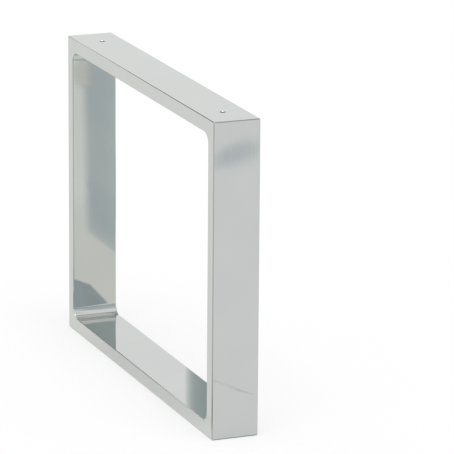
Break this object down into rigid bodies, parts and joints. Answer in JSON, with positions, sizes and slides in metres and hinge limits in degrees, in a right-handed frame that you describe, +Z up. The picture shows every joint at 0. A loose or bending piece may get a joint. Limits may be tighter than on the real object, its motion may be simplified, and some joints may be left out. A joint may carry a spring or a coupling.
{
  "type": "table leg",
  "caption": "Closed rectangular loop table leg of flat chrome-plated steel tube, with rounded inside corners and screw holes along the top rail.",
  "frame": {"origin": "middle of the bottom rail's underside, on the surface that the leg stands on", "axes": "+X along the width of the loop, +Y along the depth of the tube, +Z up towards the table top"},
  "size_m": [0.515, 0.06, 0.395],
  "materials": {
    "chrome_plated_steel": "mirror polished chrome plate on welded steel tube"
  },
  "bodies": {
    "root": {"leg_frame": "chrome_plated_steel"}
  },
  "joints": []
}
